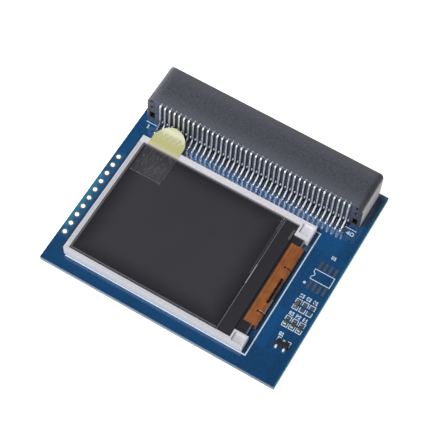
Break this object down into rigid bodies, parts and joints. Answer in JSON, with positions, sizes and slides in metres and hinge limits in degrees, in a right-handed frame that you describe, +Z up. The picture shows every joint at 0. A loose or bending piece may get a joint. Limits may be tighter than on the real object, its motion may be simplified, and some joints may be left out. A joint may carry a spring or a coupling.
{
  "type": "lcd expansion board",
  "caption": "Flat circuit board carrying a small framed colour display, a right-angle card edge connector along one edge, a row of plated holes and a strip of surface-mount chips.",
  "frame": {"origin": "centre of the board's underside", "axes": "+X along the connector from contact 1 to contact 40, +Y towards the connector's mouth, +Z up from the board to the display"},
  "size_m": [0.0604, 0.0544, 0.0104],
  "materials": {
    "solder_mask": "glossy blue solder mask over woven glass laminate",
    "tin": "bright reflowed tin",
    "dull_tin": "dull hot-levelled tin",
    "solder": "bright solder",
    "housing_plastic": "satin charcoal moulding",
    "tinned_bronze": "bright tin plate",
    "foam_tape": "soft white foam tape",
    "frame_plastic": "matt white moulding",
    "reflector": "matt white sheet",
    "clear_acrylic": "clear moulding",
    "polyimide": "satin orange polyimide",
    "lamp_resin": "pale yellow resin",
    "white_film": "milky film",
    "black_tape": "black tape",
    "polariser": "dark satin film",
    "rear_glass": "thin glass over dark rim tape",
    "display_glass": "thin dark glass",
    "clear_film": "thin clear film over the dark display",
    "tab_film": "pale yellow see-through film",
    "silicon": "bare silicon",
    "capacitor_ceramic": "fired tan ceramic",
    "resistor_ceramic": "dark glazed resistor face",
    "epoxy": "black moulded epoxy"
  },
  "bodies": {
    "root": {"circuit_board": "solder_mask", "header_plating": "tin", "connector_housing": "housing_plastic", "upper_contacts": "tinned_bronze", "lower_contacts": "tinned_bronze", "contact_lands": "tin", "lead_solder": "solder", "chip_lands": "tin", "spare_lands": "dull_tin", "adhesive_pad": "foam_tape", "lcd_frame": "frame_plastic", "reflector_sheet": "reflector", "light_guide": "clear_acrylic", "lamp_strip": "polyimide", "backlight_lamps": "lamp_resin", "diffuser_film": "white_film", "lower_prism_film": "white_film", "upper_prism_film": "white_film", "rim_tape": "black_tape", "rear_polariser": "polariser", "rear_glass": "rear_glass", "front_glass": "display_glass", "front_polariser": "polariser", "protective_film": "clear_film", "pull_tab": "tab_film", "driver_chip": "silicon", "cover_tape": "black_tape", "flex_circuit": "polyimide", "chip_capacitor": "capacitor_ceramic", "chip_resistors": "resistor_ceramic", "chip_end_caps": "tin", "chip_solder": "solder", "transistor_body": "epoxy", "transistor_leads": "tinned_bronze"}
  },
  "joints": []
}
